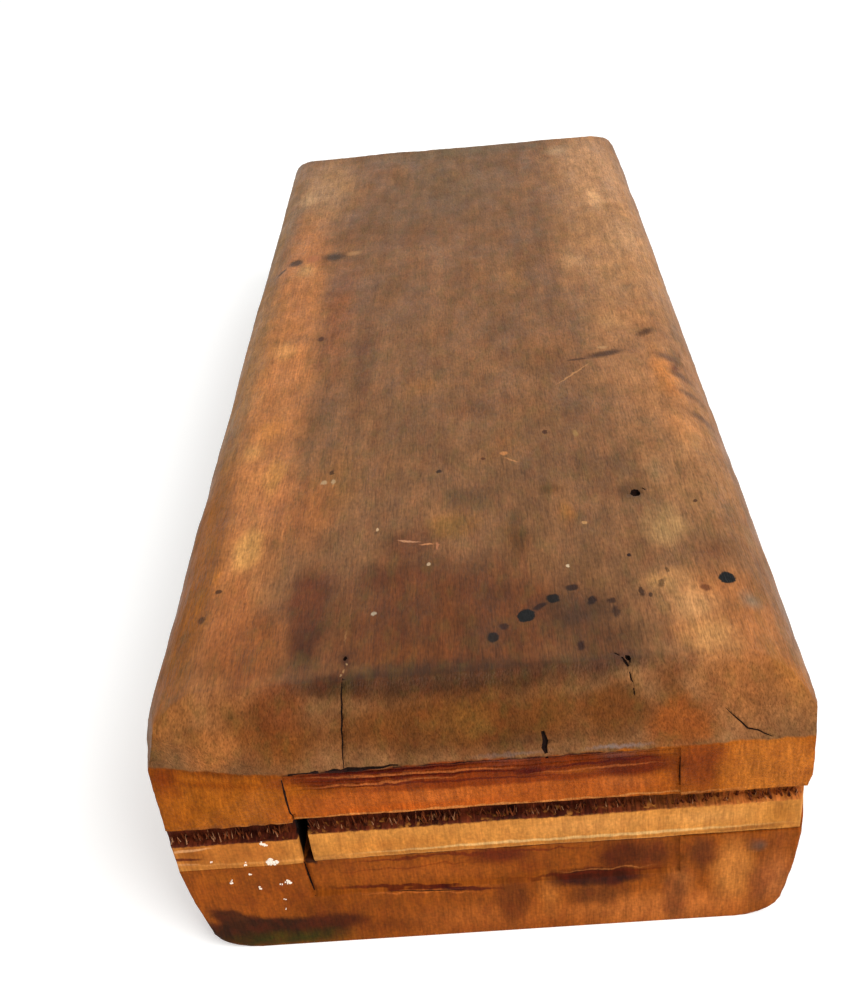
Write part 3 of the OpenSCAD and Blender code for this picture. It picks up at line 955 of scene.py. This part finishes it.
def plank_outline(name, material, low, high, near_eases):
    """A block with its corners eased and its free end sawn askew. near_eases are the insets of the
    near left and the near right corner."""
    sizes = bpy.context.scene.sleeve_board
    reach, skew = sizes.ease_length / MM, sizes.far_skew / MM
    step, far_right, far_left = 3, 1.5, 2
    obj = add_block(name, low, high)
    obj.data.materials.append(material)
    score(obj, 1, spaced(low.y, low.y + reach, step) + [low.y + reach])
    score(obj, 1, [high.y - reach - skew] + spaced(high.y - reach - skew, high.y, step))
    slice_off(obj, Vector((low.x, high.y, 0)), Vector((skew, high.x - low.x, 0)))
    corners = [Vector((low.x, low.y)), Vector((high.x, low.y)),
               Vector((high.x, high.y - skew)), Vector((low.x, high.y))]
    for corner, inset in zip(corners, (*near_eases, far_right, far_left)):
        ease_corner(obj, corner, inset, reach)
    return obj


def shave(obj, face_point, out, profile):
    """Slices along one long edge, from the face inwards. profile holds (inwards, upwards)
    distances from face_point, which stands on the edge that goes."""
    for (in_0, up_0), (in_1, up_1) in zip(profile, profile[1:]):
        normal = out * (up_1 - up_0) + UP * (in_1 - in_0)
        slice_off(obj, face_point - out * in_0 + UP * up_0, normal * math.copysign(1, up_1 - up_0))


def bevel_profile(width, bow, steps=5):
    """The section of a bulging bevel under an upper edge."""
    height = bpy.context.scene.sleeve_board.bevel_height
    slope = math.hypot(width, height)
    turns = [i / steps for i in range(steps + 1)]
    return [((width * turn - bow * math.sin(math.pi * turn) * height / slope) / MM,
             (height * (turn - 1) + bow * math.sin(math.pi * turn) * width / slope) / MM)
            for turn in turns]


def rounded_profile(width, height, steps=4):
    """The section of a rounded lower edge."""
    turns = [math.pi / 2 * i / steps for i in range(steps + 1)]
    return [(width * (1 - math.cos(turn)), height * (1 - math.sin(turn))) for turn in turns]


def refine(obj, low, high, near_part=30):
    """Gives the whole surface even faces, finer towards the joined end."""
    step = bpy.context.scene.sleeve_board.mesh_step / MM
    score(obj, 0, spaced(low.x, high.x, step))
    score(obj, 1, spaced(low.y, low.y + near_part, step / 2))
    score(obj, 1, [low.y + near_part] + spaced(low.y + near_part, high.y, step))
    score(obj, 2, spaced(low.z, high.z, step * 0.75))
    apply_modifier(obj, "SUBSURF", subdivision_type="SIMPLE", levels=2, render_levels=2)


def nail_holes(obj, *nodes):
    """Bores the holes that the CAD nails of those nodes stand in."""
    clearance, weld = 0.05, 0.01
    for node in nodes:
        nails = doubled(frame["nodes"][node])
        with editing(nails):
            bpy.ops.mesh.remove_doubles(threshold=weld * MM)
            bpy.ops.transform.shrink_fatten(value=clearance * MM)
        nails.parent = None
        carve(obj, nails)


def nail_mouth(name, board):
    """Where the hole over the CAD nail nearest to a named image point opens, in millimetres."""
    sunk, flat, head_width = 1.5, 0.1, 4
    seen = find_place(name, board)
    heads = [vertex.co / MM for vertex in frame["nodes"]["top_nails"].data.vertices]
    level = max(place.z for place in heads)
    heads = [place for place in heads if level - place.z < flat]
    nearest = min(heads, key=lambda place: (place - seen).length)
    ring = [place for place in heads if (place - nearest).length < head_width]
    return sum(ring, Vector()) / len(ring) + UP * sunk


def torn_opening(place, size):
    """A cutter for the torn mouth of a nail's hole, from the board's surface down to the head."""
    mouth = settle(made(bpy.ops.mesh.primitive_ico_sphere_add, subdivisions=4, radius=MM, scale=size))
    with editing(mouth):
        bpy.ops.transform.translate(value=place * MM)
    roughen(mouth, size=0.7, depth=0.9, stretch=(1, 1.6, 3))
    return mouth


class SLEEVEBOARD_OT_pressing_board(bpy.types.Operator):
    """Model the worn pressing board"""

    bl_idname = "sleeve_board.pressing_board"
    bl_label = "Pressing board"

    def execute(self, context):
        sizes = context.scene.sleeve_board
        board = plank_outline("pressing_board", patinated_board(), TOP_LOW, TOP_HIGH,
                              near_eases=(4.6, 3))
        askew = Vector((sizes.far_skew / MM, 2 * SIDE, 0)).normalized()
        for side in (-1, 1):
            edge = Vector((side * SIDE, 0, TOP_HIGH.z))
            shave(board, edge, TO_RIGHT * side, bevel_profile(sizes.side_bevel, sizes.side_bow))
            edge.z = TOP_LOW.z
            shave(board, edge, TO_RIGHT * side, rounded_profile(width=2.5, height=2.5))
        for edge, out, width, bow in (
                (Vector((0, NEAR, TOP_HIGH.z)), -TO_FREE_END, sizes.end_bevel, sizes.end_bow),
                (Vector((-SIDE, FAR, TOP_HIGH.z)), askew, sizes.far_bevel, sizes.far_bow)):
            shave(board, edge, out, bevel_profile(width, bow))
        # the near left corner is worn back above its lower arris
        slice_off(board, Vector((-73.3, NEAR + 12, 58.5)), Vector((-0.92, -0.19, 0.34)))
        slice_off(board, Vector((-41, NEAR, 58.7)), Vector((-75, -426, 142)))
        # the near right corner leans in a little towards its lower arris
        slice_off(board, Vector((72.8, NEAR, 50)), Vector((1, -0.16, -0.25)))
        refine(board, TOP_LOW, TOP_HIGH)
        # wear has rounded the upper arrises most, but not at the free end
        upper, free_end, much, little = 56, 150, 0.6, 0.15
        worn = weigh(board, "worn_arris",
                     lambda p: much if upper < p.z and p.y < free_end else little)
        apply_modifier(board, "SMOOTH", factor=0.5, iterations=3, vertex_group=worn)
        roughen(board, size=30, depth=0.9)
        roughen(board, size=5, depth=0.35)
        roughen(board, size=1.6, depth=0.3, stretch=(1, 14, 1))
        carve(board, rough_bar("ragged_arris", Vector((-73, NEAR - 3, 39.5)),
                               Vector((74, NEAR + 1.2, 43.5)), step=(0.7, 1, 1), lumps=1.6,
                               depth=1.2, stretch=(2, 1, 1)))
        # the housing is deeper on the left
        floor = NEAR + HOUSING_DEPTH
        hollow = rough_bar("housing_hollow", Vector((HOUSING_LEFT, NEAR - 3, 40)),
                           Vector((HOUSING_RIGHT, floor, 58.3)), step=(1.5, 1, 0.6), lumps=1.2,
                           depth=0.25, stretch=(12, 2, 1))
        only(hollow)
        bpy.ops.transform.rotate(value=math.radians(0.35), orient_axis="Z",
                                 center_override=(0, floor * MM, 0))
        carve(board, settle(hollow))
        nail_holes(board, "top_nails")
        dark_fill = grime_and_crevice_shade()
        for cracks, upright, filling in ((SAW_GROOVES, True, None), (TOP_CRACKS, False, dark_fill),
                                         (TOP_END_CRACKS_AND_SHADE_LINES, True, dark_fill)):
            carve(board, crack_cutter(board, cracks, upright), filling)
        carve(board, join([torn_opening(nail_mouth(name, board), size)
                           for name, size in MOUTHS.items()]), dark_fill)
        finish_piece(board, "pressing_board_wood", "top_board")
        return {"FINISHED"}


class SLEEVEBOARD_OT_base_board(bpy.types.Operator):
    """Model the base board"""

    bl_idname = "sleeve_board.base_board"
    bl_label = "Base board"

    def execute(self, context):
        sizes = context.scene.sleeve_board
        eased, lean, turn = sizes.base_corner / MM, sizes.base_lean / MM, sizes.base_turn
        rounding = rounded_profile(width=10, height=8, steps=6)
        board = plank_outline("base_plank", sawn_plank(), BASE_LOW, BASE_HIGH,
                              near_eases=(eased, eased))
        for side in (-1, 1):
            shave(board, Vector((side * SIDE, 0, 0)), TO_RIGHT * side, rounding)
            # the near corner leans in towards the floor, and is rounded under too
            out = Vector((side * math.cos(turn), -math.sin(turn), 0))
            corner = Vector((side * (SIDE - eased), NEAR, BASE_HIGH.z))
            slice_off(board, corner, out - UP * lean * math.cos(turn) / BASE_HIGH.z)
            shave(board, Vector((side * (SIDE - eased - lean), NEAR, 0)), out, rounding)
        refine(board, BASE_LOW, BASE_HIGH)
        apply_modifier(board, "SMOOTH", factor=0.5, iterations=1)
        clear = weigh(board, "clear_of_floor", lambda p: min(1, max(0, p.z / 3)))
        roughen(board, size=25, depth=0.8, group=clear)
        roughen(board, size=4, depth=0.3, group=clear)
        carve(board, rough_bar("housing_hollow", Vector((HOUSING_LEFT, NEAR - 2, 17.8)),
                               Vector((HOUSING_RIGHT, NEAR + HOUSING_DEPTH, 31)),
                               step=(1.5, 1, 0.8), lumps=6, depth=0.8, stretch=(3, 2, 1)))
        nail_holes(board, "top_nails", "narrow_spacer_nails", "wide_spacer_nails")
        carve(board, crack_cutter(board, BASE_CRACKS_AND_SHADE_LINES, True), grime_and_crevice_shade())
        finish_piece(board, "base_wood", "base_board")
        return {"FINISHED"}


class SLEEVEBOARD_OT_spacers(bpy.types.Operator):
    """Model the two spacer blocks"""

    bl_idname = "sleeve_board.spacers"
    bl_label = "Spacers"

    def execute(self, context):
        material = sawn_lath()
        for name, low, high, torn, node, nails in (
                ("wide_spacer_block", WIDE_LOW, WIDE_HIGH, 3.9, "spacer_wide",
                 ("top_nails", "wide_spacer_nails")),
                ("narrow_spacer_block", NARROW_LOW, NARROW_HIGH, 5.2, "spacer_narrow",
                 ("narrow_spacer_nails",))):
            block = plank_outline(name, material, Vector((-SIDE, NEAR, low.z)),
                                  Vector((SIDE, FAR, high.z)), near_eases=(4.4, 4.8))
            slice_off(block, high, TO_FREE_END)
            if node == "spacer_wide":
                slice_off(block, low, -TO_RIGHT)
                # the lowest part of its end slopes in
                slice_off(block, Vector((0, NEAR, low.z + 2.6)), Vector((0, -1, -0.2)))
            else:
                slice_off(block, high, TO_RIGHT)
            refine(block, low, high)
            apply_modifier(block, "SMOOTH", factor=0.5, iterations=1)
            roughen(block, size=20, depth=0.5)
            roughen(block, size=3, depth=0.25)
            carve(block, rough_bar("torn_rabbet", Vector((low.x - 2, NEAR - 2, high.z - torn)),
                                   Vector((high.x + 2, NEAR + 2.8, high.z + 2)),
                                   step=(0.6, 0.7, 0.7), lumps=0.9, depth=1.5, stretch=(1, 1, 6)))
            nail_holes(block, *nails)
            finish_piece(block, "spacer_wood", node)
        return {"FINISHED"}


class SLEEVEBOARD_OT_fibres(bpy.types.Operator):
    """Set torn fibres along the spacers' upper edge"""

    bl_idname = "sleeve_board.fibres"
    bl_label = "Torn fibres"

    def sliver(self):
        """One fibre, a millimetre long and a millimetre wide, bent towards its tip."""
        knees, tip, bend, reach = (-0.2, 0.15), 0.4, 0.7, 0.9
        obj = made(bpy.ops.mesh.primitive_cone_add, vertices=5, radius1=0.5 * MM,
                   radius2=0.08 * MM, depth=MM)
        score(obj, 2, knees)
        pick(obj, lambda p: p.z > tip)
        with editing(obj, whole=False):
            bpy.ops.transform.translate(
                value=(bend * MM, 0, 0), use_proportional_edit=True,
                proportional_edit_falloff="SMOOTH", proportional_size=reach * MM)
        return obj

    def execute(self, context):
        chance = random.Random(3)
        reach, slot_clear, narrow_foot, wide_foot, sunk = 70.5, 0.4, 38.4, 39.7, 0.3
        # the dark fibres are coloured near black as painted shade of the band under the pressing board, where they
        # stand
        dark = torn_fibre("dark_torn_fibre", "#250a05", "#7a3a18")
        pale = torn_fibre("pale_torn_fibre", "#7a452a", "#c08c62")
        # the pale ones crowd towards the left
        for name, material, count, crowding, wide, tall in (
                ("dark_splinters", dark, 170, 1.0, (0.3, 0.8), (1.8, 3.8)),
                ("pale_fibres", pale, 70, 1.5, (0.2, 0.4), (1.2, 2.6))):
            places = []
            for _ in range(count):
                across = -reach + 2 * reach * chance.random() ** crowding
                if NARROW_HIGH.x - slot_clear < across < WIDE_LOW.x + slot_clear:
                    continue
                foot = narrow_foot if across < NARROW_HIGH.x else wide_foot
                height = chance.uniform(*tall)
                back = chance.uniform(0.7, 2.4)
                width = chance.uniform(*wide)
                places.append((Vector((across, NEAR + back, foot + height / 2 - sunk)),
                               (chance.uniform(-0.15, 0.25), chance.uniform(-0.2, 0.2),
                                chance.uniform(0, 2 * math.pi)), (width, width, height)))
            finish_piece(scatter(self.sliver(), places, name, material), "spacer_wood")
        return {"FINISHED"}


class SLEEVEBOARD_OT_limewash(bpy.types.Operator):
    """Splash the limewash flecks on the left of the joined end"""

    bl_idname = "sleeve_board.limewash"
    bl_label = "Limewash flecks"

    # Each is the image point that it is placed from, how far it lies across and up from there, its
    # half width and its crumbs
    FLECKS = (("large_fleck", 0, 0, 1.15, 13), ("large_fleck", 0.4, 1.2, 0.5, 3),
              ("upper_fleck", 0, 0, 0.75, 7), ("upper_fleck", -0.9, 1.0, 0.5, 3),
              ("lower_fleck", 0, 0, 0.75, 7), ("lower_fleck", -1.6, -0.4, 0.4, 3),
              ("lower_fleck", 0.2, 0.9, 0.4, 3), ("large_fleck", -6.3, 0.1, 0.55, 4),
              ("large_fleck", -6, 1, 0.3, 2), ("large_fleck", -13.6, 1.6, 0.4, 3),
              ("large_fleck", -11, -6.2, 0.6, 4), ("large_fleck", -10.4, -5.2, 0.35, 3),
              ("large_fleck", -5.6, -3.4, 0.45, 3), ("large_fleck", -4.6, -8.6, 0.5, 4),
              ("large_fleck", 0.6, -13.3, 0.4, 3), ("large_fleck", 0.2, -16.6, 0.35, 2))

    def execute(self, context):
        chance = random.Random(11)
        thickness = 0.25
        boards = [bpy.data.objects[name] for name in ("narrow_spacer_block", "base_plank")]
        surfaces = {board: surface_of(board) for board in boards}
        places = []
        for point, across, up, reach, crumbs in self.FLECKS:
            middle = find_place(point, *boards)
            for crumb in range(crumbs):
                turn, far = chance.uniform(0, 2 * math.pi), reach * chance.random() ** 0.7
                x = middle.x + across + far * math.cos(turn)
                z = middle.z + up + far * math.sin(turn)
                board = boards[0] if z > BASE_HIGH.z else boards[1]
                size = reach * chance.uniform(0.25, 0.5)
                places.append((on_face(surfaces[board], x, z, True), (0, chance.uniform(0, 3), 0),
                               (size * chance.uniform(0.7, 1.5), thickness, size)))
        crumb = made(bpy.ops.mesh.primitive_ico_sphere_add, subdivisions=2, radius=MM)
        roughen(crumb, size=0.8, depth=0.7)
        finish_piece(scatter(crumb, places, "limewash_flecks", limewash_fleck()), "base_wood")
        return {"FINISHED"}


class SLEEVEBOARD_OT_nails(bpy.types.Operator):
    """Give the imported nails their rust"""

    bl_idname = "sleeve_board.nails"
    bl_label = "Nails"

    def execute(self, context):
        rust = rusted_iron()
        for node in ("top_nails", "narrow_spacer_nails", "wide_spacer_nails"):
            nails = frame["nodes"][node]
            nails.data.materials.clear()
            nails.data.materials.append(rust)
        return {"FINISHED"}


class SleeveBoardView(bpy.types.PropertyGroup):
    """The camera, as it stood for the reference view."""

    lens: FloatProperty(name="Lens", description="Focal length in millimetres", default=43.586)
    place: FloatVectorProperty(name="Place", description="Where the camera stands", subtype="XYZ",
                               unit="LENGTH", default=(0.01316, -0.36776, 0.25083))
    heading: angle("Heading", 4.899, "Turn to the left of straight ahead")
    down: angle("Down", 34.389, "How far below level the camera looks")
    roll: angle("Roll", -7.935, "Turn about the line of sight")


class SLEEVEBOARD_OT_camera(bpy.types.Operator):
    """Set the camera at the reference view"""

    bl_idname = "sleeve_board.camera"
    bl_label = "Camera"

    def execute(self, context):
        view = context.scene.sleeve_board_view
        camera = made(bpy.ops.object.camera_add, location=view.place)
        camera.name = "reference_camera"
        turn = (Matrix.Rotation(view.heading, 3, "Z")
                @ Matrix.Rotation(math.pi / 2 - view.down, 3, "X")
                @ Matrix.Rotation(view.roll, 3, "Z"))
        camera.rotation_euler = turn.to_euler()
        camera.data.lens = view.lens
        camera.data.sensor_width = 36
        camera.data.sensor_fit = "AUTO"
        context.scene.camera = camera
        context.view_layer.update()
        return {"FINISHED"}


class SLEEVEBOARD_OT_stage(bpy.types.Operator):
    """Add the floor and the studio light"""

    bl_idname = "sleeve_board.stage"
    bl_label = "Stage"

    def looked_at(self, tree):
        """1 for the rays that the camera sees, straight or by a mirror or glass, and 0 for others."""
        rays = add(tree, "LightPath").outputs
        seen = rays["Is Camera Ray"]
        for kind in ("Is Glossy Ray", "Is Transmission Ray"):
            seen = add(tree, "Math", {0: seen, 1: rays[kind]}, operation="MAXIMUM").outputs[0]
        return seen

    def execute(self, context):
        floor_size, glow_of_floor = 12, 0.3
        floor = made(bpy.ops.mesh.primitive_plane_add, size=floor_size)
        floor.name = "floor"
        material, tree, shader, _ = start_material("white_paper_floor")
        dressed(material, linear("#f2f2f0"), roughness=0.9)
        glow = add(tree, "Math", {0: self.looked_at(tree), 1: glow_of_floor}, operation="MULTIPLY")
        lift = add(tree, "Emission", {"Strength": glow.outputs[0]})
        both = add(tree, "AddShader", {0: shader.outputs[0], 1: lift.outputs[0]})
        feed(tree, tree.nodes["Material Output"], {"Surface": both.outputs[0]})
        floor.data.materials.append(material)
        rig.stage(floor)

        world = bpy.data.worlds.new("studio")
        context.scene.world = world
        world.use_nodes = True
        sky = world.node_tree
        level = add(sky, "MapRange", {"Value": self.looked_at(sky), "To Min": 0.7, "To Max": 1.0})
        feed(sky, sky.nodes["Background"], {"Color": (1, 1, 1, 1), "Strength": level.outputs[0]})

        lamp = made(bpy.ops.object.light_add, type="AREA", location=(0.9, -0.9, 1.3))
        lamp.name = "soft_box"
        lamp.data.size = 1.0
        lamp.data.energy = 22
        lamp.rotation_euler = (Vector((0, 0, 0)) - lamp.location).to_track_quat("-Z", "Y").to_euler()

        context.scene.view_settings.view_transform = "Standard"
        return {"FINISHED"}


class SLEEVEBOARD_PT_sidebar(bpy.types.Panel):
    """Lists the board's operators in the sidebar"""

    bl_label = "Sleeve board"
    bl_idname = "SLEEVEBOARD_PT_sidebar"
    bl_space_type = "VIEW_3D"
    bl_region_type = "UI"
    bl_category = "Sleeve board"

    def draw(self, context):
        for operator in OPERATORS:
            self.layout.operator(operator.bl_idname)


OPERATORS = (SLEEVEBOARD_OT_camera, SLEEVEBOARD_OT_pressing_board, SLEEVEBOARD_OT_base_board,
             SLEEVEBOARD_OT_spacers, SLEEVEBOARD_OT_fibres, SLEEVEBOARD_OT_limewash,
             SLEEVEBOARD_OT_nails, SLEEVEBOARD_OT_stage)
CLASSES = (SleeveBoardSizes, SleeveBoardView, *OPERATORS, SLEEVEBOARD_PT_sidebar)


def register():
    for each in CLASSES:
        bpy.utils.register_class(each)
    bpy.types.Scene.sleeve_board = PointerProperty(type=SleeveBoardSizes)
    bpy.types.Scene.sleeve_board_view = PointerProperty(type=SleeveBoardView)


def unregister():
    del bpy.types.Scene.sleeve_board_view
    del bpy.types.Scene.sleeve_board
    for each in reversed(CLASSES):
        bpy.utils.unregister_class(each)


# Where the cracks, the slot and the stains with an image point lie: across and along the top, or
# across and up the joined end
CRACK_PLACES = {"left_crack": (-27.6, 6), "right_crack": (58.2, 1.9), "notch": (15.6, 1.2)}
STAIN_PLACES = {"large_drop": (14.2, 32), "right_drop": (61, 39.8), "left_scar": (-53, 250),
                "right_scar": (46, 152.6)}


def write_points():
    """Writes how far each thing shows from its image point."""
    board, plank, block = (bpy.data.objects[name] for name in
                           ("pressing_board", "base_plank", "narrow_spacer_block"))
    surface = surface_of(board)
    seen = [image_place(obj.matrix_world @ vertex.co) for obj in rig.pieces() if obj.type == "MESH"
            for vertex in obj.data.vertices]
    xs, ys = [x for x, _ in seen], [y for _, y in seen]
    rows = {name: round(shown - OBJECT_EDGES[name], 1) for name, shown in
            (("left", min(xs)), ("right", max(xs)), ("top", min(ys)), ("bottom", max(ys)))}
    places = {name: nail_mouth(name, board) for name in MOUTHS}
    places["slot"] = (NARROW_HIGH + Vector((WIDE_LOW.x, NARROW_HIGH.y, WIDE_LOW.z))) / 2
    places["slot"].y = NEAR
    for name, (across, along) in (CRACK_PLACES | STAIN_PLACES).items():
        places[name] = on_face(surface, across, along, False)
    for name in IMAGE_POINTS:
        if "fleck" in name:
            places[name] = find_place(name, plank, block)
    for name, place in places.items():
        rows[name] = [round(shown - pixel, 1)
                      for shown, pixel in zip(image_place(place * MM), IMAGE_POINTS[name])]
    with open("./points.json", "w") as file:
        json.dump(rows, file, indent=1)


def main():
    register()
    for operator in OPERATORS:
        group, name = operator.bl_idname.split(".")
        getattr(getattr(bpy.ops, group), name)()
    try:
        write_points()
    except Exception as problem:
        print("points.json was not written:", problem)
    sizes = {"cad": CAD_BOX, "visual": [list(corner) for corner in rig.bounds()]}
    with open("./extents.json", "w") as file:
        json.dump(sizes, file)


if __name__ == "__main__":
    main()
